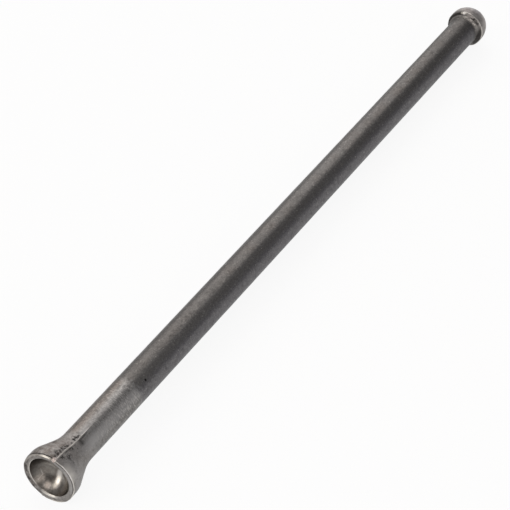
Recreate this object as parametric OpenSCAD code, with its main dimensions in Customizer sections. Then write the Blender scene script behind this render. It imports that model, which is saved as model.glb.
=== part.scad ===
// Engine pushrod, upset-forged in one piece from round steel bar.
// A cup at one end takes the ball of the rocker's adjusting screw, and the ball at the other
// end sits in the tappet. It lies along X as it would on a bench, with the cup at -X.
// Millimetres, +Z up. The origin is on the bench, under the middle of the rod.

/* [Rod] */
// Length from the rim of the cup to the tip of the ball
overall_length = 261.9; // [200:0.1:320]
// Diameter of the bar that the rod is forged from
shaft_d = 10; // [9:0.1:10.6]

/* [Cup outside] */
// Diameter of the short straight barrel behind the rim
cup_d = 16.1; // [15.6:0.1:17]
// Distance from the rim to where the barrel and the neck's cone would meet
barrel_length = 3.6; // [3:0.1:5]
// Half angle of the neck's cone
neck_angle = 21.2; // [18:0.2:26]
// Radius that rounds the barrel into the cone
shoulder_radius = 6; // [3:0.5:7]
// Radius that sweeps the cone into the shaft
sweep_radius = 14; // [8:0.5:18]

/* [Socket] */
// Diameter of the spherical seat for the adjusting screw's ball
socket_d = 13.4; // [13:0.05:13.8]
// Depth of the seat below the rim
socket_depth = 4.9; // [4.6:0.1:5.6]
// Diameter of the mouth, outside its bevel
mouth_d = 13.9; // [13.7:0.05:14.3]
// Slope of the bevel between the flat land and the seat
bevel_angle = 22; // [18:1:32]
// Width of the narrow crest that trimming left on the rim's outer edge
crest_width = 0.2; // [0.1:0.05:0.4]
// Height of the crest over the flat land
crest_height = 0.12; // [0.06:0.02:0.3]

/* [Ball end] */
// Diameter of the ball
ball_d = 13; // [12.4:0.1:13.6]
// Overhang of the trimmed edge past the ball, on each side
edge_overhang = 0.1; // [0.05:0.05:0.3]
// Distance from the trimmed edge to the ball's centre
edge_offset = 1.9; // [1.4:0.1:2.6]
// Length of the conical underside between the shaft and the trimmed edge
underside_length = 1.8; // [1.4:0.1:2.6]
// Radius in the corner between the shaft and the underside
corner_radius = 0.8; // [0.4:0.1:1.2]

/* [Parting line] */
// Width of the flash that the two die halves left
flash_width = 0.4; // [0.3:0.05:0.8]
// Height of the flash over the cup
flash_height = 0.3; // [0.15:0.05:0.4]
// Distance from the rim to where the flash dies out
flash_reach = 18; // [14:0.5:24]
// Turn of the upper parting line from straight up, towards -Y
flash_turn = 18.7; // [0:0.1:90]

/* [Hidden] */
$fn = 96;
shaft_r = shaft_d / 2;
cup_r = cup_d / 2;
mouth_r = mouth_d / 2;
ball_r = ball_d / 2;
socket_r = socket_d / 2;

// Centres of the two spheres and plane of the trimmed edge, measured from the rim along the rod
socket_at = socket_depth - socket_r;
ball_at = overall_length - ball_r;
edge_at = ball_at - edge_offset;
edge_r = ball_r + edge_overhang;

// Where the trimmed band runs into the ball, just past the ball's middle and under its skin
band_end = [ball_r - 0.06, ball_at + 0.6];

// Where the neck's cone would meet the bare shaft
neck_end = barrel_length + (cup_r - shaft_r) / tan(neck_angle);

// Lengths of the straight lines that each rounding takes up
shoulder_tangent = shoulder_radius * tan(neck_angle / 2);
sweep_tangent = sweep_radius * tan(neck_angle / 2);

// Angle of the underside against the rod's axis, and the straight length that its rounding takes up
underside_angle = atan2(edge_r - shaft_r, underside_length);
corner_tangent = corner_radius * tan(underside_angle / 2);

// How far the flash ends under the surface, so that it fades out
flash_sink = 0.08;
// Number of straight steps in each rounding
arc_steps = 8;

// Points along an arc, each as [radius from the rod's axis, distance from the rim]
function arc(centre, radius, from, to) = [
    for (i = [0 : arc_steps])
        let (a = from + (to - from) * i / arc_steps)
            centre + radius * [cos(a), sin(a)]
];

// The barrel's rounded shoulder and the neck's sweep down to the shaft
shoulder = arc([cup_r - shoulder_radius, barrel_length - shoulder_tangent], shoulder_radius, 0, neck_angle);
sweep = arc([shaft_r + sweep_radius, neck_end + sweep_tangent], sweep_radius, 180 + neck_angle, 180);
corner = arc(
    [shaft_r + corner_radius, edge_at - underside_length - corner_tangent],
    corner_radius, 180, 180 - underside_angle
);

// Outside of the cup from the rim to the shaft
cup_outline = concat([[cup_r, 0]], shoulder, sweep);

// Height of the flash over the surface at a distance from the rim: level on the cup, then fading
function flash_over(at) =
    flash_height - (flash_height + flash_sink) * max(0, at - barrel_length) / (flash_reach - barrel_length);

// Bar, cup and trimmed head, turned about the rod's axis and still without the socket
module blank() {
    rotate_extrude()
        polygon(concat(
            [[0, 0]],
            cup_outline,
            corner,
            [[edge_r, edge_at], band_end, [0, band_end[1]]]
        ));
    translate([0, 0, ball_at])
        sphere(r = ball_r);
}

// The two lines of flash where the halves of the die met
module parting_flash() {
    crest = [for (p = cup_outline) [p[0] + flash_over(p[1]), p[1]]];
    for (side = [0, 180])
        rotate([0, 0, side])
            rotate([90, 0, 0])
                linear_extrude(height = flash_width, center = true)
                    polygon(concat(
                        [[0, 0]],
                        crest,
                        [[shaft_r - flash_sink, flash_reach], [0, flash_reach]]
                    ));
}

// Spherical seat, the bevel at its mouth and the flat land inside the crest
module socket() {
    crest_r = cup_r - crest_width;
    clear = 0.5;
    reach = 1;
    translate([0, 0, socket_at])
        sphere(r = socket_r);
    rotate_extrude()
        polygon([
            [0, -clear],
            [crest_r + clear, -clear],
            [crest_r - crest_height, crest_height],
            [mouth_r, crest_height],
            [mouth_r - reach, crest_height + reach * tan(bevel_angle)],
            [0, crest_height + reach * tan(bevel_angle)]
        ]);
}

module pushrod() {
    color([0.46, 0.45, 0.44])
        translate([-overall_length / 2, 0, cup_r])
            rotate([flash_turn, 0, 0])
                rotate([0, 90, 0])
                    difference() {
                        union() {
                            blank();
                            parting_flash();
                        }
                        socket();
                    }
}

pushrod();
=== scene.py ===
"""Engine pushrod, forged in one piece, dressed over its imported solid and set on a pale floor."""

from __future__ import annotations

import logging
import math
from dataclasses import dataclass
from enum import Enum
from typing import Any, NamedTuple

import bpy
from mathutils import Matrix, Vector


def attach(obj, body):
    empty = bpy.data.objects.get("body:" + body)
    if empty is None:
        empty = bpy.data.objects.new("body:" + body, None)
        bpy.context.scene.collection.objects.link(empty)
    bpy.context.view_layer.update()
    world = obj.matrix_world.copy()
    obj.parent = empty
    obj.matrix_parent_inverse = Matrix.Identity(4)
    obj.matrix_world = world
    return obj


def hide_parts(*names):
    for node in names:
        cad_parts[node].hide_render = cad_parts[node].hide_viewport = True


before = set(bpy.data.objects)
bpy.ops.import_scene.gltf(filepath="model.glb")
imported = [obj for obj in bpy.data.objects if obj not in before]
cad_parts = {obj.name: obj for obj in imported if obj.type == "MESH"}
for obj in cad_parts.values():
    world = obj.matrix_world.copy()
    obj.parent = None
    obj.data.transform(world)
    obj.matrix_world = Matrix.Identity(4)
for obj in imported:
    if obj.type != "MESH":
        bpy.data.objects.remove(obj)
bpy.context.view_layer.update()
MM = 0.001
# A limit in millimetres that lies past every point of the rod
OPEN = 999.0
LOG = logging.getLogger("pushrod")

Point = tuple[float, float]
Triple = tuple[float, float, float]
Line = tuple[Triple, Triple]
# A colour's hex code, then the masks and the weights that limit it
Layer = tuple[Any, ...]
Node = bpy.types.Node
Tree = bpy.types.NodeTree

MATH = "ShaderNodeMath"
VECTOR = "ShaderNodeVectorMath"
# Its inputs are a value, the two ends of its range and what those two ends become
STEP = "ShaderNodeMapRange"
MIX = "ShaderNodeMix"


def linear(code: str) -> tuple[float, float, float, float]:
    """Turn an sRGB hex colour into the linear colour that a shader socket takes.

    Args:
        code: the colour as "#rrggbb".

    Returns:
        Linear red, green, blue and an alpha of 1.
    """
    parts = [int(code[i : i + 2], 16) / 255 for i in (1, 3, 5)]
    red, green, blue = (c / 12.92 if c <= 0.04045 else ((c + 0.055) / 1.055) ** 2.4 for c in parts)
    return (red, green, blue, 1.0)


def add_node(tree: Tree, kind: str, *inputs: Any, **given: Any) -> Node:
    """Add one node to a tree, with its settings and the links into it.

    Args:
        tree: the node tree that gets the node.
        kind: the node's type name.
        inputs: what goes into its first sockets, in order. A socket, or a node that stands for its
            first output, is linked, and anything else is set.
        given: its settings, and what goes into its other sockets, by name with "_" for a space.

    Returns:
        The new node.
    """
    node = tree.nodes.new(kind)
    for key, value in (*given.items(), *enumerate(inputs)):
        if key in node.bl_rna.properties.keys():
            setattr(node, key, value)
            continue
        socket = node.inputs[key if isinstance(key, int) else key.replace("_", " ")]
        if isinstance(value, bpy.types.Node):
            value = value.outputs[0]
        if isinstance(value, bpy.types.NodeSocket):
            tree.links.new(value, socket)
        else:
            socket.default_value = value
    return node


class RodPlaces:
    """Where points of the rod lie, and masks of places on it, in one node tree.

    A point is measured in millimetres from the middle of the cup's rim: along the rod, by its
    radius from the axis, across from the dies' parting plane and upward along that plane.
    """

    def __init__(self, tree: Tree, position: Any, start: Any, across: Any, upward: Any) -> None:
        """Measure the points.

        Args:
            tree: the geometry or shader tree that measures.
            position: the point, in metres.
            start: the middle of the rim, in metres.
            across: the direction at right angles to the parting plane.
            upward: the direction from the rod's axis to the upper parting line.
        """
        self.tree = tree
        off = add_node(tree, VECTOR, position, start, operation="SUBTRACT")
        self.point = add_node(tree, VECTOR, off, operation="SCALE", Scale=1 / MM)
        self.along = add_node(tree, "ShaderNodeSeparateXYZ", self.point).outputs[0]
        flat = add_node(tree, VECTOR, self.point, (0.0, 1.0, 1.0), operation="MULTIPLY")
        self.radius = add_node(tree, VECTOR, flat, operation="LENGTH").outputs["Value"]
        self.across, self.upward = (
            add_node(tree, VECTOR, flat, way, operation="DOT_PRODUCT").outputs["Value"]
            for way in (across, upward)
        )

    def chain(self, operation: str, *values: Any) -> Any:
        """Join several values by one operation, from the first to the last.

        Args:
            operation: the name of the operation on two values.
            values: masks, other measures or plain numbers.

        Returns:
            The joined value.
        """
        whole = values[0]
        for value in values[1:]:
            whole = add_node(self.tree, MATH, whole, value, operation=operation)
        return whole

    def overlap(self, *masks: Any) -> Any:
        """Where several masks all hold, weakened by the plain numbers among them."""
        return self.chain("MULTIPLY", *masks)

    def band(self, value: Any, low: float, high: float, blur: float) -> Any:
        """A soft-edged mask that is 1 where a value lies between two limits.

        Args:
            value: the value.
            low: the lower limit.
            high: the upper limit.
            blur: the width of each soft edge, which lies half inside the limit.

        Returns:
            The mask.
        """
        half = blur / 2
        rise = add_node(self.tree, STEP, value, low - half, low + half)
        fall = add_node(self.tree, STEP, value, high - half, high + half, 1.0, 0.0)
        return self.overlap(rise, fall)

    def where(self, **limits: Triple) -> Any:
        """A mask of the points within a lower and an upper limit with a blur, by name of measure."""
        bands = (self.band(getattr(self, name), *span) for name, span in limits.items())
        return self.overlap(*bands)

    def blotches(
        self, size: float, seed: float, levels: Point, detail: float = 2.0, point: Any = None
    ) -> Node:
        """A pattern of soft blotches, from 0 to 1.

        Args:
            size: how wide a blotch is, in millimetres.
            seed: a number that picks one of many such patterns.
            levels: the level of the noise below which there is none, and where it is full.
            detail: how far the edges of a blotch break up.
            point: the place to draw it at, if that isn't the point itself.

        Returns:
            The pattern.
        """
        noise = add_node(
            self.tree, "ShaderNodeTexNoise", noise_dimensions="4D",
            Vector=self.point if point is None else point, W=seed, Scale=1 / size, Detail=detail,
        )
        return add_node(self.tree, STEP, noise, levels[0], levels[1], interpolation_type="SMOOTHSTEP")

    def swell(self, size: float, seed: float) -> Any:
        """Soft lumps and hollows of a size in millimetres, from -0.5 to 0.5."""
        lumps = self.blotches(size, seed, (0.2, 0.8))
        return add_node(self.tree, MATH, lumps, 0.5, operation="SUBTRACT")

    def spot(self, centre: Triple, core: float, reach: float) -> Node:
        """A round mask at one place on the rod.

        Args:
            centre: the middle of the mask.
            core: the radius within which it is 1.
            reach: the radius past which it is 0.

        Returns:
            The mask.
        """
        off = add_node(self.tree, VECTOR, self.point, centre, operation="DISTANCE")
        return add_node(
            self.tree, STEP, off.outputs["Value"], core, reach, 1.0, 0.0,
            interpolation_type="SMOOTHSTEP",
        )

    def scratch(self, ends: Line, width: float) -> Node:
        """A thin mask along a straight line between two places on the rod.

        Args:
            ends: the line's two ends.
            width: how wide the line is, with its soft edges.

        Returns:
            The mask.
        """
        tree, start = self.tree, ends[0]
        run = Vector(ends[1]) - Vector(start)
        unit = run / run.length_squared
        off = add_node(tree, VECTOR, self.point, start, operation="SUBTRACT")
        share = add_node(tree, VECTOR, off, unit, operation="DOT_PRODUCT")
        share = add_node(tree, STEP, share.outputs["Value"])
        foot = add_node(tree, VECTOR, run, operation="SCALE", Scale=share)
        gap = add_node(tree, VECTOR, off, foot, operation="DISTANCE")
        return add_node(tree, STEP, gap.outputs["Value"], width * 0.2, width * 0.5, 1.0, 0.0)


class Mask(Enum):
    """Names of the surface attributes that the forging's mesh carries for its finish."""

    FLASH = "flash"
    TORN = "torn"


@dataclass
class Pushrod:
    """The forging: its sizes in millimetres, its turned outline and the mesh made from them."""

    overall_length: float = 261.9
    shaft_r: float = 5.0
    cup_r: float = 8.05
    barrel_length: float = 3.6
    neck_angle: float = 21.2
    shoulder_radius: float = 6.0
    sweep_radius: float = 14.0
    socket_r: float = 6.7
    socket_depth: float = 4.9
    mouth_r: float = 6.95
    bevel_angle: float = 22.0
    crest_width: float = 0.2
    crest_height: float = 0.12
    ball_r: float = 6.5
    edge_overhang: float = 0.1
    edge_offset: float = 1.9
    underside_length: float = 1.8
    corner_radius: float = 0.8
    flash_width: float = 0.4
    flash_height: float = 0.3
    flash_reach: float = 18.0
    flash_turn: float = 18.7
    nick: Triple = (253.3, 0.75, 6.35)
    rim_set_back: float = 0.5
    unevenness: float = 0.045
    # How far from each sharp corner its wear starts
    lip_wear: float = 0.14
    mouth_wear: float = 0.12
    crest_wear: float = 0.05
    rim_wear: float = 0.09
    trim_wear: float = 0.14
    # Steps round the rod, and how far they bunch up at the flash
    turns: int = 288
    bunching: float = 0.7

    @property
    def rim_middle(self) -> Triple:
        """The middle of the cup's rim, in metres."""
        return (-self.overall_length / 2 * MM, 0.0, self.cup_r * MM)

    @property
    def parting_up(self) -> Triple:
        """The direction from the axis to the upper parting line."""
        turn = math.radians(self.flash_turn)
        return (0.0, -math.sin(turn), math.cos(turn))

    @property
    def parting_across(self) -> Triple:
        """The direction at right angles to the parting plane, away from the camera's side."""
        turn = math.radians(self.flash_turn)
        return (0.0, math.cos(turn), math.sin(turn))

    @property
    def ball_at(self) -> float:
        """Distance from the rim to the ball's centre."""
        return self.overall_length - self.ball_r

    @property
    def ball_edge(self) -> float:
        """Distance from the rim to the trimmed edge behind the ball."""
        return self.ball_at - self.edge_offset

    @staticmethod
    def arc(centre: Point, radius: float, start: float, end: float, steps: int) -> list[Point]:
        """Points along an arc in the plane of distance from the axis and distance from the rim.

        Args:
            centre: the arc's centre.
            radius: its radius.
            start: its first angle in degrees.
            end: its last angle in degrees.
            steps: the number of steps.

        Returns:
            The points, both ends included.
        """
        angles = [math.radians(start + (end - start) * i / steps) for i in range(steps + 1)]
        middle_r, middle_x = centre
        return [(middle_r + radius * math.cos(a), middle_x + radius * math.sin(a)) for a in angles]

    @staticmethod
    def line(start: Point, end: Point, steps: int) -> list[Point]:
        """Evenly spaced points between two points, without either end."""
        (r, x), (end_r, end_x) = start, end
        return [(r + (end_r - r) * i / steps, x + (end_x - x) * i / steps) for i in range(1, steps)]

    @staticmethod
    def rounded(before: Point, corner: Point, after: Point, reach: float, steps: int) -> list[Point]:
        """A corner of the outline with its point worn round.

        Args:
            before: a point on the line into the corner.
            corner: the sharp corner.
            after: a point on the line out of it.
            reach: how far from the corner the rounding starts.
            steps: the number of steps round it.

        Returns:
            Points along a smooth bend from one line to the other.
        """
        there, here, away = Vector(before), Vector(corner), Vector(after)
        start = here + (there - here).normalized() * reach
        end = here + (away - here).normalized() * reach
        bend = []
        for i in range(steps + 1):
            t = i / steps
            bend.append(tuple(start * (1 - t) ** 2 + here * 2 * t * (1 - t) + end * t * t))
        return bend

    def inner_outline(self) -> list[Point]:
        """The outline from the bottom of the seat over the bevel and the land to the crest.

        Returns:
            Each point's distance from the axis and from the rim.
        """
        seat_at = self.socket_depth - self.socket_r
        slope = math.tan(math.radians(self.bevel_angle))
        low, high = 0.0, 2.0
        for _ in range(50):
            mid = (low + high) / 2
            depth = self.crest_height + mid * slope - seat_at
            outside = math.hypot(self.mouth_r - mid, depth) > self.socket_r
            low, high = (mid, high) if outside else (low, mid)
        seat_edge = (self.mouth_r - low, self.crest_height + low * slope)
        mouth = (self.mouth_r, self.crest_height)
        crest_r = self.cup_r - self.crest_width
        land_end = (crest_r - self.crest_height, self.crest_height)
        crest = (crest_r, 0.0)
        rim = (self.cup_r, 0.0)
        barrel = (self.cup_r, 1.0)
        last = math.degrees(math.atan2(seat_edge[1] - seat_at, seat_edge[0]))
        seat = self.arc((0.0, seat_at), self.socket_r, 90.0, last, steps=44)
        seat[0] = (0.0, seat[0][1])
        seat_lip = self.rounded(seat[-2], seat_edge, mouth, self.lip_wear, steps=5)
        mouth_lip = self.rounded(seat_edge, mouth, land_end, self.mouth_wear, steps=5)
        land_foot = self.rounded(mouth, land_end, crest, self.crest_wear, steps=3)
        path = [p for p in seat if math.dist(p, seat_edge) > 0.2] + seat_lip
        for steps, bend in ((3, mouth_lip), (7, land_foot)):
            path += self.line(path[-1], bend[0], steps) + bend
        path += self.rounded(land_end, crest, rim, self.crest_wear, steps=3)
        return path + self.rounded(crest, rim, barrel, self.rim_wear, steps=5)

    def outline(self) -> list[Point]:
        """The turned outline from the bottom of the seat round the rim to the tip of the ball.

        Returns:
            Each point's distance from the axis and from the rim.
        """
        cup_r, shaft_r, neck = self.cup_r, self.shaft_r, self.neck_angle
        edge = (self.ball_r + self.edge_overhang, self.ball_edge)
        half = math.radians(neck / 2)
        neck_end = self.barrel_length + (cup_r - shaft_r) / math.tan(2 * half)

        radius = self.shoulder_radius
        centre = (cup_r - radius, self.barrel_length - radius * math.tan(half))
        shoulder = self.arc(centre, radius, 0, neck, steps=12)

        radius = self.sweep_radius
        centre = (shaft_r + radius, neck_end + radius * math.tan(half))
        sweep = self.arc(centre, radius, 180 + neck, 180, steps=20)

        radius = self.corner_radius
        lean = math.degrees(math.atan2(edge[0] - shaft_r, self.underside_length))
        corner_at = edge[1] - self.underside_length - radius * math.tan(math.radians(lean / 2))
        corner = self.arc((shaft_r + radius, corner_at), radius, 180, 180 - lean, steps=7)

        band_end = (self.ball_r - 0.01, self.ball_at + 0.2)
        trimmed = self.rounded(corner[-1], edge, band_end, self.trim_wear, steps=5)
        ball = self.arc((0.0, self.ball_at), self.ball_r, 4.0, 90.0, steps=36)
        ball[-1] = (0.0, ball[-1][1])
        path = self.inner_outline()
        for steps, bend in ((9, shoulder), (16, sweep), (84, corner), (7, trimmed), (8, ball)):
            path += self.line(path[-1], bend[0], steps) + bend
        return path

    def outline_object(self) -> bpy.types.Object:
        """Draw the outline for the node tree to turn.

        Returns:
            A line of vertices along the outline, in metres.
        """
        mesh = bpy.data.meshes.new("pushrod_outline")
        start = self.rim_middle[0]
        verts = [(start + x * MM, r * MM, 0.0) for r, x in self.outline()]
        mesh.from_pydata(verts, [(i, i + 1) for i in range(len(verts) - 1)], [])
        obj = bpy.data.objects.new("pushrod_outline", mesh)
        bpy.context.scene.collection.objects.link(obj)
        return obj

    @staticmethod
    def rolled(tree: Tree, given: bpy.types.NodeOutputs) -> Node:
        """Turn the outline about the rod's axis, with the turns closer together at the flash.

        Args:
            tree: the tree that turns it.
            given: the tree's inputs.

        Returns:
            The closed skin of the rod.
        """
        outline, turns = given["Outline"], given["Turns"]
        rows = add_node(tree, "GeometryNodeAttributeDomainSize", outline, component="MESH")
        columns = add_node(tree, MATH, turns, 1.0, operation="ADD")
        lattice = add_node(tree, "GeometryNodeMeshGrid", Vertices_X=rows, Vertices_Y=columns)

        # Each vertex of the lattice takes its row from the outline and its column from the turn
        index = add_node(tree, "GeometryNodeInputIndex")
        inside = add_node(tree, MATH, index, 0.5, operation="ADD")
        row = add_node(tree, MATH, inside, columns, operation="DIVIDE")
        row = add_node(tree, MATH, row, operation="FLOOR")
        before = add_node(tree, MATH, row, columns, operation="MULTIPLY")
        column = add_node(tree, MATH, index, before, operation="SUBTRACT")
        where = add_node(tree, "GeometryNodeInputPosition")
        profile = add_node(
            tree, "GeometryNodeSampleIndex", data_type="FLOAT_VECTOR", domain="POINT",
            Geometry=outline, Value=where, Index=row,
        )
        share = add_node(tree, MATH, column, turns, operation="DIVIDE")
        turn = add_node(tree, MATH, share, math.tau, operation="MULTIPLY")
        twice = add_node(tree, MATH, turn, 2.0, operation="MULTIPLY")
        wave = add_node(tree, MATH, twice, operation="SINE")
        pull = add_node(tree, MATH, given["Bunching"], -0.5, operation="MULTIPLY")
        angle = add_node(tree, MATH, wave, pull, turn, operation="MULTIPLY_ADD")

        axis = add_node(tree, VECTOR, profile, (1.0, 0.0, 0.0), operation="MULTIPLY")
        lift = add_node(tree, VECTOR, given["Rim Middle"], (0.0, 1.0, 1.0), operation="MULTIPLY")
        place = add_node(tree, VECTOR, axis, lift, operation="ADD")
        radius = add_node(tree, "ShaderNodeSeparateXYZ", profile).outputs[1]
        radial = []
        for wave_kind, direction in (("COSINE", "Parting Up"), ("SINE", "Parting Across")):
            part = add_node(tree, MATH, angle, operation=wave_kind)
            part = add_node(tree, MATH, part, radius, operation="MULTIPLY")
            radial.append(add_node(tree, VECTOR, given[direction], operation="SCALE", Scale=part))
        out = add_node(tree, VECTOR, radial[0], radial[1], operation="ADD")
        placed = add_node(tree, VECTOR, place, out, operation="ADD")
        skin = add_node(tree, "GeometryNodeSetPosition", Geometry=lattice, Position=placed)
        return add_node(tree, "GeometryNodeMergeByDistance", Geometry=skin, Distance=1e-7)

    def flash_mask(self, at: RodPlaces, given: bpy.types.NodeOutputs, outside: Any) -> Any:
        """Where the two lines of flash stand on the cup and the neck.

        Args:
            at: where each point lies.
            given: the tree's inputs.
            outside: a mask of everything but the seat.

        Returns:
            The mask, fading out towards the shaft.
        """
        tree, width, reach = at.tree, given["Flash Width"], given["Flash Reach"]
        off = add_node(tree, MATH, at.across, operation="ABSOLUTE")
        core = at.overlap(width, 0.16)
        foot = at.overlap(width, 0.75)
        ridge = add_node(tree, STEP, off, core, foot, 1.0, 0.0, interpolation_type="SMOOTHSTEP")
        fade = add_node(tree, STEP, at.along, at.overlap(reach, 0.55), reach, 1.0, 0.0)
        on_rim = add_node(tree, STEP, at.radius, self.cup_r - 0.7, self.cup_r - 0.3)
        behind = add_node(tree, STEP, at.along, 0.4, 1.2)
        outer = at.chain("MAXIMUM", on_rim, behind)
        side = add_node(tree, STEP, at.upward, -2.0, 2.0, 0.3, 1.0)
        return at.overlap(ridge, fade, outside, outer, side)

    def turning_tree(self, inputs: dict[str, tuple[str, Any]]) -> Tree:
        """The node tree that turns the outline into the forging.

        Args:
            inputs: by name, the kind of socket and the value of all that goes in beside the outline.

        Returns:
            A tree that revolves the outline, raises the flash, leaves the hammered unevenness of
            a forging, and stores the attributes that the finish reads.
        """
        tree = bpy.data.node_groups.new("turned_forging", "GeometryNodeTree")
        face = tree.interface
        face.new_socket(name="Outline", in_out="INPUT", socket_type="NodeSocketGeometry")
        for name, (kind, _) in inputs.items():
            face.new_socket(name=name, in_out="INPUT", socket_type="NodeSocket" + kind)
        face.new_socket(name="Forging", in_out="OUTPUT", socket_type="NodeSocketGeometry")
        given = add_node(tree, "NodeGroupInput").outputs
        skin = self.rolled(tree, given)

        where = add_node(tree, "GeometryNodeInputPosition")
        at = RodPlaces(tree, where, given["Rim Middle"], given["Parting Across"], given["Parting Up"])
        seat_r, seat_end = self.socket_r - 0.05, self.socket_depth + 0.5
        seat = at.where(radius=(-OPEN, seat_r, 0.1), along=(-OPEN, seat_end, 0.2))
        outside = add_node(tree, MATH, 1.0, seat, operation="SUBTRACT")
        above = add_node(tree, STEP, at.upward, -1.0, 2.5, interpolation_type="SMOOTHSTEP")

        # Flash with a broken edge, and the torn knob where its upper line meets the rim
        cup_r = self.cup_r
        flash = self.flash_mask(at, given, outside)
        broken = at.blotches(0.9, 3.0, (0.25, 0.75))
        height = add_node(tree, MATH, broken, 0.8, 0.55, operation="MULTIPLY_ADD")
        raised = at.overlap(flash, height, given["Flash Height"])
        torn = at.where(
            along=(-OPEN, 0.8, 1.0), across=(-0.1, 0.9, 0.5), upward=(cup_r - 0.55, OPEN, 0.4)
        )
        knob = at.overlap(torn, at.blotches(0.45, 5.0, (0.25, 0.6)), 0.28)

        # The crest that trimming left stands on one die half and is gone from the other
        on_crest = at.where(radius=(cup_r - 0.3, OPEN, 0.12), along=(-OPEN, 0.14, 0.1))
        gone = at.overlap(on_crest, at.where(across=(0.0, OPEN, 0.5)), -self.crest_height)
        wavy = at.overlap(on_crest, at.swell(1.6, 7.0), 0.09)

        # The rim's outer edge is hammered back on the upper half, over a groove beside the land
        far_half = at.where(across=(0.0, OPEN, 1.0))
        below = at.where(across=(-OPEN, -2.2, 1.6))
        top = add_node(tree, MATH, far_half, 0.33, cup_r - 0.33, operation="MULTIPLY_ADD")
        edge = add_node(tree, STEP, at.radius, cup_r - 0.6, top)
        near_rim = add_node(tree, STEP, at.along, 0.0, 1.5, 1.0, 0.0)
        more = add_node(tree, MATH, far_half, 0.5, 0.5, operation="MULTIPLY_ADD")
        more = add_node(tree, MATH, below, 0.35, more, operation="MULTIPLY_ADD")
        set_back = at.overlap(edge, above, near_rim, more, given["Rim Set Back"], MM)
        seam = at.where(along=(0.42, 0.68, 0.2), across=(0.4, OPEN, 0.8))
        seam = at.overlap(seam, above, outside, -0.1)

        # Lumps from the hammer, more of them on the forged ends than along the bar
        coarse, fine = at.swell(4.0, 1.0), at.swell(1.2, 2.0)
        lumps = add_node(tree, MATH, fine, 0.5, coarse, operation="MULTIPLY_ADD")
        bar = at.where(along=(16.0, 250.5, 4.0))
        share = add_node(tree, MATH, bar, -0.75, 1.0, operation="MULTIPLY_ADD")
        lumps = at.overlap(lumps, share, outside, given["Unevenness"], 2.0)

        # Ragged ring under the ball, its uneven trimmed edge with a nick, and its fuller far side
        end = self.ball_edge
        ring = at.where(along=(end - 1.6, end - 1.0, 0.4))
        ring = at.overlap(ring, at.blotches(0.8, 11.0, (0.35, 0.7)), 0.16)
        ragged = at.overlap(at.where(along=(end - 0.2, end + 0.3, 0.3)), at.swell(2.2, 13.0), 0.16)
        nick = at.overlap(at.spot(self.nick, 0.2, 0.8), -0.22)
        fuller = at.where(along=(end + 0.4, end + 4.5, 2.5), across=(2.5, OPEN, 5.0))
        fuller = at.overlap(fuller, 0.16)

        push = at.chain("ADD", raised, knob, gone, wavy, seam, lumps, ring, ragged, nick, fuller)
        push = at.overlap(push, MM)
        normal = add_node(tree, "GeometryNodeInputNormal")
        offset = add_node(tree, VECTOR, normal, operation="SCALE", Scale=push)
        inward = add_node(tree, VECTOR, (1.0, 0.0, 0.0), operation="SCALE", Scale=set_back)
        offset = add_node(tree, VECTOR, offset, inward, operation="ADD")
        for mask, value in ((Mask.FLASH, flash), (Mask.TORN, torn)):
            skin = add_node(
                tree, "GeometryNodeStoreNamedAttribute", data_type="FLOAT", domain="POINT",
                Geometry=skin, Name=mask.value, Value=value,
            )
        skin = add_node(tree, "GeometryNodeSetPosition", Geometry=skin, Offset=offset)
        skin = add_node(tree, "GeometryNodeSetShadeSmooth", skin)
        skin = add_node(tree, "GeometryNodeRealizeInstances", skin)
        skin = add_node(tree, "GeometryNodeSetMaterial", Geometry=skin, Material=given["Finish"])
        add_node(tree, "NodeGroupOutput", skin)
        return tree

    def build(self, finish: bpy.types.Material) -> bpy.types.Object:
        """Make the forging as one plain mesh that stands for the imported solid.

        Args:
            finish: the steel that covers it.

        Returns:
            The finished piece, riding on the only body.
        """
        outline = self.outline_object()
        inputs = {
            "Turns": ("Int", self.turns),
            "Bunching": ("Float", self.bunching),
            "Rim Middle": ("Vector", self.rim_middle),
            "Parting Across": ("Vector", self.parting_across),
            "Parting Up": ("Vector", self.parting_up),
            "Flash Width": ("Float", self.flash_width),
            "Flash Height": ("Float", self.flash_height),
            "Flash Reach": ("Float", self.flash_reach),
            "Rim Set Back": ("Float", self.rim_set_back),
            "Unevenness": ("Float", self.unevenness),
            "Finish": ("Material", finish),
        }
        tree = self.turning_tree(inputs)
        modifier = outline.modifiers.new("turning", "NODES")
        modifier.node_group = tree
        for item in tree.interface.items_tree:
            if item.name in inputs:
                modifier[item.identifier] = inputs[item.name][1]
        graph = bpy.context.evaluated_depsgraph_get()
        mesh = bpy.data.meshes.new_from_object(outline.evaluated_get(graph))
        outline.modifiers.remove(modifier)
        bpy.data.objects.remove(outline)
        mesh.name = "pushrod_forging"
        piece = bpy.data.objects.new("pushrod_forging", mesh)
        bpy.context.scene.collection.objects.link(piece)
        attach(piece, "root")
        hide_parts("pushrod")
        return piece


class Zone(NamedTuple):
    """Where a stretch of the rod starts, in mm from the rim, and its colour and roughness."""

    start: float
    colour: str
    roughness: float


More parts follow.
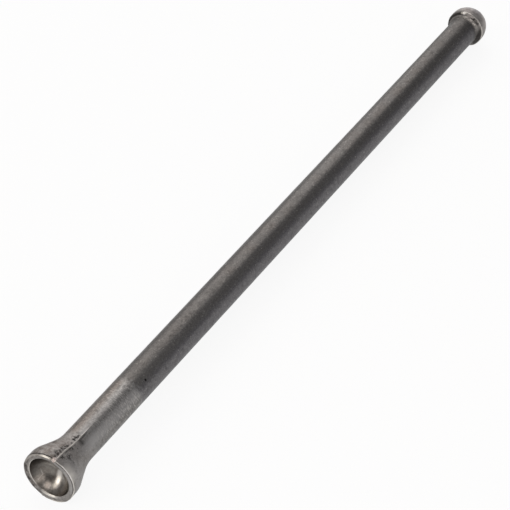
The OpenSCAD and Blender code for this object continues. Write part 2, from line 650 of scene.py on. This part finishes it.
class SteelPlaces(RodPlaces):
    """The rod's places as its finish needs them, with the masks that several layers share."""

    def __init__(self, tree: Tree, rod: Pushrod, sanded: Point) -> None:
        """Measure the points, and find where the steel wears or scales in its own way.

        Args:
            tree: the material's tree.
            rod: the piece that the finish covers.
            sanded: where the sanded length of the shaft starts and ends.
        """
        position = add_node(tree, "ShaderNodeTexCoord").outputs["Object"]
        super().__init__(tree, position, rod.rim_middle, rod.parting_across, rod.parting_up)
        self.rod = rod
        self.far_half = self.where(across=(0.0, OPEN, 1.0))
        self.near_half = self.where(across=(-OPEN, 0.0, 1.0))
        self.above = self.where(upward=(0.0, OPEN, 1.0))
        self.front = self.where(along=(-OPEN, 1.2, 0.2))
        self.seat = self.where(radius=(-OPEN, 6.36, 0.1), along=(-OPEN, 5.4, 0.2))
        self.outside = add_node(tree, MATH, 1.0, self.seat, operation="SUBTRACT")
        self.bevel = self.overlap(self.where(radius=(6.36, 6.97, 0.08)), self.front)
        self.land = self.overlap(self.where(radius=(6.97, 7.75, 0.1)), self.front)
        # The rounded outer edge on the upper far side: worn, with a painted highlight
        rim = self.where(radius=(7.45, OPEN, 0.2), along=(-OPEN, 0.5, 0.2))
        self.worn_edge_highlight = self.overlap(rim, self.far_half, self.above)

        # The crest is set further back on the lower part of the near half
        below = self.where(across=(-OPEN, -2.2, 1.6))
        behind = add_node(tree, MATH, below, -0.175, self.along, operation="MULTIPLY_ADD")
        crest = self.overlap(self.where(radius=(7.9, OPEN, 0.1)), self.band(behind, -OPEN, 0.47, 0.2))
        self.crest = self.overlap(crest, self.near_half, self.where(upward=(-2.0, OPEN, 5.0)))

        # A sanded length that gets paler away from the cup, and a brushed side
        start, end = sanded
        more = add_node(tree, STEP, self.along, start, 30.0, 0.3, 1.0)
        self.sanded = self.overlap(self.where(along=(start, end, 1.6)), more)
        onset = add_node(tree, STEP, self.along, 7.0, 16.0)
        brushed = self.where(along=(-OPEN, end, 1.6), across=(-3.9, -1.7, 1.2))
        self.brushed = self.overlap(brushed, onset)

        # Dark patches of oxide 1.1 mm wide and a grain of 0.35 mm, and sanding marks round the rod.
        # A mark is 0.3 mm wide and 1 mm long, coarser than 180-grit leaves it, so that it shows
        self.patches = self.blotches(1.1, 32.0, (0.45, 0.75), 3.0)
        self.grain = self.blotches(0.35, 34.0, (0.25, 0.75), 1.0)
        drawn = add_node(tree, VECTOR, self.point, (1 / 0.3, 1.0, 1.0), operation="MULTIPLY")
        self.streaks = self.blotches(1.0, 21.0, (0.3, 0.7), 1.0, drawn)

        # Scale beside the flash. Under the ball's edge, scale in blotches on the near side and
        # painted shade over the far side; the trimmed edge is bare, with a painted highlight on the
        # near side only
        edge = rod.ball_edge
        bits = self.blotches(0.9, 41.0, (0.5, 0.6), 4.0)
        beside = self.where(along=(1.2, 14.0, 1.5), across=(0.25, 1.4, 0.8))
        self.scale_far = self.overlap(bits, beside, self.above, self.outside)
        scale_and_far_shade = self.blotches(1.3, 44.0, (0.42, 0.56), 3.0)
        scale_and_far_shade = self.overlap(scale_and_far_shade, self.where(across=(-3.6, 0.4, 0.8)))
        scale_and_far_shade = self.chain("MAXIMUM", scale_and_far_shade, self.where(across=(2.6, OPEN, 1.6)))
        self.under = self.overlap(self.where(along=(edge - 0.95, edge - 0.2, 0.3)), scale_and_far_shade)
        trim = self.where(along=(edge - 0.12, edge + 0.22, 0.16), across=(-OPEN, 2.0, 2.0))
        self.trimmed = self.overlap(trim, self.blotches(1.5, 45.0, (0.2, 0.5), 2.0))


@dataclass(frozen=True)
class ForgedSteel:
    """Medium-carbon steel, hot-forged and oxidised, sanded by the cup and polished in its seat.

    The oxide gives a dark satin grey with soft brown clouds. Sanding leaves a paler length of shaft
    with fine marks round it, the trimmed edges and the flash are bare and bright, and black scale
    sticks beside the flash and under the ball. Some layers are painted light: shade on the shaft's
    upper and lower sides, in the seat, in the rim's grooves, along the flash and under the ball, a
    floor reflection on the shaft's lower side, light on near sides, and highlights on the edges,
    the seat and the nick.
    """

    zones: tuple[Zone, ...] = (
        Zone(0.0, "#888481", 0.5),
        Zone(11.0, "#84807d", 0.46),
        Zone(16.0, "#848280", 0.33),
        Zone(36.8, "#848280", 0.33),
        Zone(38.2, "#615f5d", 0.35),
        Zone(60.0, "#5c5a59", 0.35),
        Zone(120.0, "#575554", 0.35),
        Zone(200.0, "#545251", 0.35),
        Zone(250.9, "#4c4a49", 0.42),
        Zone(251.4, "#5d5b59", 0.42),
        Zone(253.6, "#94908d", 0.46),
        Zone(255.9, "#94908d", 0.46),
        Zone(257.2, "#b8b4b4", 0.46),
        Zone(261.9, "#b8b4b4", 0.46),
    )
    polished: str = "#8c8780"
    # Worn steel of grain, marks, scratches, flash and edges; also painted highlights and light
    worn_metal_and_highlight: str = "#d4cfc8"
    # Near-white of the painted highlights on the crest and the nick
    bright: str = "#f4f0ec"
    # Pale bare steel of the brushed side, also laid on as painted light and a painted highlight
    bare_metal_and_light: str = "#bcbab9"
    # Bluish grey of the painted floor reflection on the shaft's lower side
    reflection_tint: str = "#626167"
    violet: str = "#5a5054"
    brown: str = "#544840"
    # Dark grey of oxide patches, grain and sanding marks, and of the painted shade
    shade: str = "#403d3b"
    scale: str = "#1a1817"
    torn: str = "#d9cbc5"
    glance: str = "#e4e4e4"
    sanded: Point = (17.0, 37.6)
    bump_depth: float = 0.012
    # Marks that lie at one place, in millimetres from the middle of the rim
    pit: Triple = (42.25, -3.583, 3.488)
    scabs: tuple[Triple, ...] = (
        (2.65, -1.85, 7.83), (3.11, -1.2, 7.93), (4.07, -1.8, 7.63), (5.25, -1.48, 7.26),
        (6.05, -1.31, 6.98), (7.21, -1.17, 6.55), (12.2, -0.45, 5.1), (2.6, -3.3, 7.3),
        (7.7, -2.5, 5.95), (4.4, -4.1, 6.5), (7.3, 2.7, 6.05),
    )
    seat_scratches: tuple[Line, ...] = (
        ((2.93, 4.6, -1.15), (2.84, 4.08, -2.6)),
        ((1.48, 4.41, -3.83), (2.96, 3.86, -2.71)),
    )
    dark_scratch: Line = ((3.95, -4.8, 6.25), (4.05, -6.1, 4.9))
    # A painted glint along the trimmed edge by the nick
    glint: Line = ((253.2, 1.55, 6.15), (253.4, 0.1, 6.48))
    # A worn, polished line in the seat, painted bright so that it lengthens the highlight there
    burnish_highlight: Line = ((4.7, -0.5, -1.5), (3.6, -0.3, -3.95))

    def stretches(self, at: SteelPlaces) -> Node:
        """Colour and roughness by the stretch of the rod.

        Args:
            at: the places on the rod.

        Returns:
            A ramp with the colour, and with the roughness in its alpha. Where the sanding ends
            it has a ragged edge up to 2.2 mm deep.
        """
        length = at.rod.overall_length
        blots = at.blotches(1.2, 54.0, (0.3, 0.7), 3.0)
        ragged = at.overlap(at.where(along=(32.0, 44.0, 4.0)), blots, 2.2)
        place = add_node(at.tree, MATH, at.along, ragged, operation="SUBTRACT")
        share = add_node(at.tree, MATH, place, length, operation="DIVIDE")
        ramp = add_node(at.tree, "ShaderNodeValToRGB", share)
        stops = ramp.color_ramp.elements
        for i, zone in enumerate(self.zones):
            stop = stops[i] if i < 2 else stops.new(zone.start / length)
            stop.position = zone.start / length
            stop.color = (*linear(zone.colour)[:3], zone.roughness)
        return ramp

    def oxide(self, at: SteelPlaces) -> list[Layer]:
        """Oxide, sanding and handling along the whole rod, with painted shade on its upper and lower
        sides, a painted floor reflection low down, painted light on the cup's near side and a painted
        highlight along the sanded length.

        Args:
            at: the places on the rod.

        Returns:
            The layers, from the lowest up.
        """
        end = self.sanded[1]
        fading, mottling, paling = (
            add_node(at.tree, STEP, at.along, first, last, strong, weak)
            for first, last, strong, weak in (
                (66.0, 150.0, 0.52, 0.1), (34.0, 50.0, 0.35, 0.19), (0.5, 3.2, 0.95, 0.0)
            )
        )
        far_top = at.where(upward=(1.0, OPEN, 2.0))
        # Upper far side of the sanded length: a brown tone with painted shade
        browned_upper_shade = at.where(along=(14.0, end, 2.0), across=(1.9, OPEN, 1.2))
        # Painted shade on the upper far side of the plain shaft, weaker towards the ball
        upper_painted_shade = at.where(along=(end, 240.0, 1.6), across=(0.4, OPEN, 1.2))
        # Painted floor reflection: a bluish tint on the lower side of the shaft
        floor_reflection = at.where(along=(end, 250.9, 1.6), across=(-OPEN, -2.3, 1.4))
        # Painted light on the near side of the cup and the neck
        near_cup_light = at.where(along=(0.9, 4.6, 1.6), across=(-OPEN, -1.8, 1.2))
        near_neck_light = at.where(along=(4.4, 7.4, 2.0), across=(-OPEN, -3.9, 1.2))
        near_edge = at.where(radius=(7.8, OPEN, 0.2), across=(-6.2, -2.9, 1.8))
        # A painted highlight along the upper side of the sanded length
        painted_sheen = at.where(along=(9.0, 34.5, 6.0), across=(0.0, 1.1, 0.8))
        # Painted shade on the lower side of the sanded length
        low_side_shade = at.where(along=(16.0, end, 3.0), across=(-OPEN, -4.0, 1.0))
        by_cup = at.where(along=(-1.0, 9.0, 5.0))

        # Brown clouds 6 mm wide, rust of 1.4 mm, pale patches of 0.9 mm and specks of 0.5 mm
        clouds = at.blotches(6.0, 31.0, (0.4, 0.7), 4.0)
        rust = at.blotches(1.4, 50.0, (0.45, 0.62), 4.0)
        pale = at.blotches(0.9, 33.0, (0.5, 0.75), 3.0)
        specks = at.blotches(0.5, 35.0, (0.66, 0.72), 1.0)
        coarse = add_node(at.tree, MATH, 1.0, at.grain, operation="SUBTRACT")
        marks = add_node(at.tree, STEP, at.streaks, 0.35, 0.0)
        return [
            (self.polished, at.seat),
            (self.brown, clouds, at.far_half, at.outside, 0.22),
            (self.brown, by_cup, at.far_half, at.outside, rust, 0.64),
            (self.brown, browned_upper_shade, far_top, 0.65),
            (self.shade, upper_painted_shade, far_top, fading),
            (self.reflection_tint, floor_reflection, 0.5),
            (self.shade, at.patches, mottling),
            (self.worn_metal_and_highlight, pale, at.outside, 0.08),
            (self.shade, coarse, 0.17),
            (self.worn_metal_and_highlight, at.grain, 0.08),
            (self.worn_metal_and_highlight, specks, at.outside, 0.25),
            (self.bare_metal_and_light, at.brushed, 0.62),
            (self.bare_metal_and_light, near_cup_light, 0.26),
            (self.bare_metal_and_light, near_neck_light, 0.14),
            (self.worn_metal_and_highlight, paling, near_edge),
            (self.bare_metal_and_light, painted_sheen, 0.2),
            (self.shade, low_side_shade, 0.25),
            (self.shade, at.streaks, at.sanded, 0.26),
            (self.worn_metal_and_highlight, marks, at.sanded, 0.14),
            (self.worn_metal_and_highlight, marks, at.sanded, at.near_half, 0.25),
        ]

    def black_scale(self, at: SteelPlaces) -> list[Layer]:
        """Scale beside the flash and under the ball, painted shade along the flash's near flank and
        under the ball, a smudge, a dark scratch and a pit.

        Args:
            at: the places on the rod.

        Returns:
            The layers, from the lowest up.
        """
        edge = at.rod.ball_edge
        crumbs = at.blotches(0.7, 42.0, (0.55, 0.64), 4.0)
        near_side = at.where(along=(2.0, 10.0, 2.0), across=(-2.4, -0.3, 0.9))
        scabs = at.chain("MAXIMUM", *(at.spot(centre, 0.35, 1.1) for centre in self.scabs))
        flakes = at.blotches(0.5, 49.0, (0.42, 0.54), 3.0)
        smudge = at.where(along=(11.5, 12.9, 1.3), across=(-1.9, -0.1, 0.8))
        smears = at.blotches(1.1, 43.0, (0.2, 0.5), 3.0)
        # Painted shade in thin dark lines along the near flank of the upper flash
        flash_end_shade = at.where(along=(12.5, 15.5, 1.5), across=(-0.6, -0.05, 0.3))
        flash_flank_shade = at.where(along=(4.6, 8.2, 1.2), across=(-0.55, -0.1, 0.25))
        scratch = at.scratch(self.dark_scratch, 1.0)
        breaks = at.blotches(0.7, 53.0, (0.3, 0.6))
        # Painted shade on the underside of the ball's edge, low on the near side
        low_under_shade = at.where(along=(edge - 1.8, edge - 0.2, 0.5), across=(-OPEN, -4.6, 1.2))
        return [
            (self.scale, at.scale_far, 0.85),
            (self.scale, crumbs, near_side, at.above, at.outside, 0.7),
            (self.scale, scabs, flakes, 0.75),
            (self.scale, smudge, at.above, smears, 0.7),
            (self.scale, flash_end_shade, at.above, 0.6),
            (self.scale, flash_flank_shade, at.above, 0.5),
            (self.scale, scratch, breaks, 0.42),
            (self.scale, low_under_shade, 0.85),
            # Scale in blotches and painted shade under the ball's edge
            (self.scale, at.under, 0.8),
            (self.scale, at.spot(self.pit, 0.2, 0.5)),
        ]

    def cup_wear(self, at: SteelPlaces) -> list[Layer]:
        """Scratches, tarnish and painted shade in the seat, soot on the land, painted shade in the
        rim's grooves, painted light on the land's near half, and bare edges and flash, several with
        painted highlights.

        Args:
            at: the places on the rod.

        Returns:
            The layers, from the lowest up.
        """
        lines = at.chain("MAXIMUM", *(at.scratch(ends, 0.32) for ends in self.seat_scratches))
        stain = at.where(across=(-OPEN, -2.2, 1.6), upward=(-OPEN, -2.6, 2.0))
        tarnish = at.blotches(1.4, 52.0, (0.44, 0.6), 3.0)
        # Painted shade in a band across the middle of the seat
        seat_shade = at.where(upward=(-2.0, OPEN, 3.0), across=(-1.8, 3.4, 2.0))
        seat_shade = at.overlap(seat_shade, at.where(upward=(-OPEN, -1.0, 0.5)))
        flash, torn = (
            add_node(at.tree, "ShaderNodeAttribute", attribute_name=mask.value).outputs["Fac"]
            for mask in (Mask.FLASH, Mask.TORN)
        )
        sooty = at.where(across=(1.0, OPEN, 4.0), upward=(-OPEN, 1.0, 2.0))
        soot = at.blotches(1.5, 46.0, (0.38, 0.56), 3.0)
        rubs = at.blotches(2.6, 47.0, (0.2, 0.5))
        # Painted highlight on the bevel's lower far side
        far_lip_highlight = at.where(upward=(-OPEN, -4.6, 2.0), across=(-3.8, 0.4, 1.6))
        # A bright line on the seat's inner edge on the far side: bare edge and painted highlight
        lip_highlight = at.where(radius=(6.34, 6.55, 0.1), across=(2.6, OPEN, 2.0), upward=(-OPEN, 3.0, 4.0))
        groove = at.where(radius=(7.6, 7.9, 0.12))
        seam = at.where(radius=(7.6, OPEN, 0.2), along=(0.5, 0.78, 0.16))
        return [
            (self.worn_metal_and_highlight, lines, 0.38),
            (self.brown, at.seat, stain, 0.2),
            (self.brown, at.seat, tarnish, 0.3),
            (self.shade, at.seat, seat_shade, 0.65),
            # Painted shade over the seat's far wall
            (self.shade, at.seat, at.where(across=(3.7, OPEN, 2.4)), 0.76),
            # Worn, polished metal and a painted highlight in the seat
            (self.worn_metal_and_highlight, at.scratch(self.burnish_highlight, 2.2), 0.6),
            (self.scale, at.land, sooty, soot, 0.75),
            (self.worn_metal_and_highlight, at.bevel, rubs, far_lip_highlight, 0.9),
            (self.worn_metal_and_highlight, lip_highlight, at.front, 0.65),
            # Painted light on the near half of the land
            (self.bare_metal_and_light, at.land, at.near_half, at.above, 0.3),
            # Painted shade in the groove beside the land on the near half
            (self.scale, groove, at.front, at.near_half, at.above, 0.6),
            # Painted shade in the groove behind the rim on the upper far side
            (self.scale, seam, at.far_half, at.above, 0.85),
            # Worn outer edge of the rim with a painted highlight
            (self.worn_metal_and_highlight, at.worn_edge_highlight, at.where(across=(1.4, 4.4, 0.8)), 0.62),
            (self.worn_metal_and_highlight, at.worn_edge_highlight, at.where(across=(5.3, OPEN, 0.8)), 0.3),
            # The crest is bare metal with a painted highlight, brightest on the lower near side
            (self.worn_metal_and_highlight, at.crest, 0.85),
            (self.bright, at.crest, at.where(across=(-5.9, -1.9, 1.0)), 0.85),
            (self.worn_metal_and_highlight, flash, 0.55),
            (self.torn, torn, 0.8),
        ]

    def ball_wear(self, at: SteelPlaces) -> list[Layer]:
        """Heat tint of the dome with painted shade on its far side and painted light on its near
        side, and the bright ring, edge and nick beside it, with painted highlights on the edge and
        the nick.

        Args:
            at: the places on the rod.

        Returns:
            The layers, from the lowest up.
        """
        edge = at.rod.ball_edge
        tint = at.blotches(2.0, 48.0, (0.4, 0.7), 3.0)
        # Painted shade on the dome's far side next to the edge
        far_dome_shade = at.where(along=(edge - 0.3, edge + 0.9, 0.9), across=(2.4, OPEN, 2.0))
        # Painted light on the dome's near side
        near_dome_light = at.where(along=(edge + 2.4, OPEN, 2.0), across=(-OPEN, -2.0, 2.0))
        ring = at.where(along=(edge - 1.6, edge - 1.0, 0.25), across=(-4.0, 2.2, 1.0))
        ragged = at.blotches(0.8, 11.0, (0.4, 0.6), 3.0)
        return [
            (self.violet, at.where(along=(edge, OPEN, 0.4)), tint, 0.4),
            (self.shade, far_dome_shade, 0.75),
            (self.worn_metal_and_highlight, near_dome_light, 0.3),
            (self.worn_metal_and_highlight, ring, ragged, 0.5),
            # Bare trimmed edge with a painted highlight on its near side
            (self.worn_metal_and_highlight, at.trimmed, 0.75),
            # Painted highlights: a glint along the edge and a spot on the nick
            (self.worn_metal_and_highlight, at.scratch(self.glint, 1.1), 0.75),
            (self.bright, at.spot(at.rod.nick, 0.2, 0.75), 0.9),
        ]

    def material(self, rod: Pushrod) -> bpy.types.Material:
        """Build the finish's node tree.

        Args:
            rod: the piece it covers, whose places it reads.

        Returns:
            The material.
        """
        material = bpy.data.materials.new("forged_steel_oxidised")
        material.use_nodes = True
        tree = material.node_tree
        tree.nodes.clear()
        at = SteelPlaces(tree, rod, self.sanded)
        ramp = self.stretches(at)

        colour: Any = ramp.outputs["Color"]
        for code, *masks in (
            *self.oxide(at),
            *self.black_scale(at),
            *self.cup_wear(at),
            *self.ball_wear(at),
        ):
            mask = at.overlap(*masks)
            colour = add_node(tree, MIX, mask, data_type="RGBA", A=colour, B=linear(code))
            colour = colour.outputs["Result"]

        roughness: Any = ramp.outputs["Alpha"]
        for value, *masks in (
            (0.29, at.seat),
            (0.3, at.bevel),
            (0.4, at.land),
            (0.36, at.worn_edge_highlight),
            (0.35, at.crest),
            (0.7, at.patches, at.outside, 0.5),
            (0.62, at.brushed),
            (0.75, at.scale_far),
            (0.75, at.under),
            (0.3, at.trimmed),
        ):
            mask = at.overlap(*masks)
            roughness = add_node(tree, MIX, mask, data_type="FLOAT", A=roughness, B=value)

        # Sanding marks and grain stand out a little, but not in the polished seat
        marks = at.overlap(at.streaks, at.sanded)
        height = add_node(tree, MATH, marks, 0.7, at.grain, operation="MULTIPLY_ADD")
        bump = add_node(
            tree, "ShaderNodeBump", Strength=0.6, Distance=self.bump_depth * MM,
            Height=at.overlap(height, at.outside),
        )
        shader = add_node(
            tree, "ShaderNodeBsdfPrincipled", Base_Color=colour, Metallic=1.0, Roughness=roughness,
            Normal=bump, Specular_Tint=linear(self.glance),
        )
        add_node(tree, "ShaderNodeOutputMaterial", Surface=shader)
        return material


@dataclass(frozen=True)
class WhitePaper:
    """Matt white paper, rolled out as a sweep.

    It gives the eye an even white, also where the metal mirrors it, with a faint soft shadow.
    """

    colour: str = "#f8f8f8"
    glow: float = 0.9

    def material(self) -> bpy.types.Material:
        """Build the paper's node tree.

        Returns:
            The material, mostly plain white to the camera and in reflections.
        """
        material = bpy.data.materials.new("white_paper_sweep")
        material.use_nodes = True
        tree = material.node_tree
        tree.nodes.clear()
        paper = add_node(tree, "ShaderNodeBsdfDiffuse", Color=linear(self.colour))
        white = add_node(tree, "ShaderNodeEmission", Strength=1.0)
        path = add_node(tree, "ShaderNodeLightPath").outputs
        seen = path["Is Camera Ray"]
        for ray in ("Is Glossy Ray", "Is Transmission Ray"):
            seen = add_node(tree, MATH, seen, path[ray], operation="ADD", use_clamp=True)
        share = add_node(tree, MATH, seen, self.glow, operation="MULTIPLY")
        mixed = add_node(tree, "ShaderNodeMixShader", share, paper, white)
        add_node(tree, "ShaderNodeOutputMaterial", Surface=mixed)
        return material


class Panel(NamedTuple):
    """A soft rectangular light, in metres. The floor's white is a radiance of 1."""

    name: str
    place: Triple
    size: Point
    radiance: float
    tint: str


@dataclass
class Studio:
    """Pale floor, soft light from the far side and the camera at the photograph's angle."""

    # Camera: its aim and distance in millimetres, its direction in degrees
    aim: Triple = (-22.54, 0.056, 8.085)
    azimuth: float = -59.548
    elevation: float = 39.357
    distance: float = 600.2
    focal_px: float = 1990.0
    frame_px: int = 510
    sensor_width: float = 36.0
    view_end: float = 20.0
    # Floor: the round forms that touch it, in millimetres, and its half width in metres
    cup_r: float = 8.05
    cup_at: float = -129.2
    ball_r: float = 6.5
    ball_at: float = 124.45
    floor_gap: float = 0.05
    floor_half: float = 4.0
    # Surroundings: tones along the rod, from behind the cup to behind the ball
    room_span: Point = (-0.8, 1.0)
    room: tuple[tuple[float, str], ...] = (
        (0.0, "#6c6b6b"), (0.72, "#c0c0c1"), (0.8, "#b8b8ba"), (0.88, "#838386"), (1.0, "#cacacc"),
    )
    panels: tuple[Panel, ...] = (
        Panel("far_softbox", (1.12, 1.125, 1.22), (2.6, 1.7), 1.7, "#fffcfa"),
        Panel("horizon_softbox", (1.86, 1.17, 0.25), (0.6, 0.5), 2.4, "#fffcfa"),
        Panel("strip_softbox", (-1.6, 1.0, 0.8), (0.6, 1.9), 3.7, "#fffbf4"),
        Panel("overhead_softbox", (-0.95, -0.2, 1.23), (0.62, 0.62), 3.4, "#fff8f6"),
        Panel("side_softbox", (-0.75, -1.1, 0.45), (1.2, 0.8), 1.15, "#fffaf8"),
    )

    def floor(self) -> bpy.types.Object:
        """A wide pale floor that touches the cup and the ball.

        Returns:
            The floor, marked as stage.
        """
        slope = (self.cup_r - self.ball_r) / (self.ball_at - self.cup_at)
        zero = (-slope * self.cup_at - self.floor_gap) * MM
        half = self.floor_half
        corners = [(-half, -half), (half, -half), (half, half), (-half, half)]
        mesh = bpy.data.meshes.new("floor")
        mesh.from_pydata([(x, y, x * slope + zero) for x, y in corners], [], [(0, 1, 2, 3)])
        mesh.materials.append(WhitePaper().material())
        floor = bpy.data.objects.new("floor", mesh)
        bpy.context.scene.collection.objects.link(floor)
        return floor

    def lights(self) -> None:
        """Set up the soft lights, each of them facing the object."""
        for panel in self.panels:
            data = bpy.data.lights.new(panel.name, "AREA")
            data.shape = "RECTANGLE"
            data.size, data.size_y = panel.size
            data.energy = panel.radiance * math.pi * panel.size[0] * panel.size[1]
            data.color = linear(panel.tint)[:3]
            light = bpy.data.objects.new(panel.name, data)
            light.location = panel.place
            light.rotation_euler = Vector(panel.place).to_track_quat("Z", "Y").to_euler()
            bpy.context.scene.collection.objects.link(light)

    def surroundings(self) -> None:
        """Dim surroundings that the metal mirrors, in tones that change along the rod."""
        world = bpy.data.worlds.new("studio")
        bpy.context.scene.world = world
        world.use_nodes = True
        tree = world.node_tree
        tree.nodes.clear()
        low, high = self.room_span
        way = add_node(tree, "ShaderNodeTexCoord").outputs["Generated"]
        along = add_node(tree, "ShaderNodeSeparateXYZ", way).outputs[0]
        share = add_node(tree, STEP, along, low, high)
        tone = add_node(tree, "ShaderNodeValToRGB", share)
        stops = tone.color_ramp.elements
        for i, (place, code) in enumerate(self.room):
            stop = stops[i] if i < 2 else stops.new(place)
            stop.position, stop.color = place, linear(code)
        room = add_node(tree, "ShaderNodeBackground", Color=tone, Strength=1.0)
        add_node(tree, "ShaderNodeOutputWorld", Surface=room)

    def camera(self) -> bpy.types.Object:
        """Set up the camera at the photograph's viewing angle.

        Returns:
            The camera, which is the scene's.
        """
        data = bpy.data.cameras.new("photo_camera")
        data.sensor_width = self.sensor_width
        data.lens = self.focal_px * self.sensor_width / self.frame_px
        data.clip_end = self.view_end
        camera = bpy.data.objects.new("photo_camera", data)
        a, e = math.radians(self.azimuth), math.radians(self.elevation)
        back = Vector((math.sin(a) * math.cos(e), -math.cos(a) * math.cos(e), math.sin(e)))
        camera.location = (Vector(self.aim) + back * self.distance) * MM
        camera.rotation_euler = back.to_track_quat("Z", "Y").to_euler()
        bpy.context.scene.collection.objects.link(camera)
        bpy.context.scene.camera = camera
        return camera

    def build(self) -> None:
        """Set up floor, surroundings, lights, camera and the plain colour view."""
        self.floor()
        self.surroundings()
        self.lights()
        self.camera()
        bpy.context.scene.view_settings.view_transform = "Standard"


def main() -> None:
    """Build the piece and the studio in order, and log what was made."""
    logging.basicConfig(level=logging.INFO, format="%(name)s: %(message)s")
    rod = Pushrod()
    piece = rod.build(ForgedSteel().material(rod))
    LOG.info("%s: %d vertices", piece.name, len(piece.data.vertices))
    studio = Studio()
    studio.build()
    LOG.info("studio: floor, camera and %d lights", len(studio.panels))


if __name__ == "__main__":
    main()
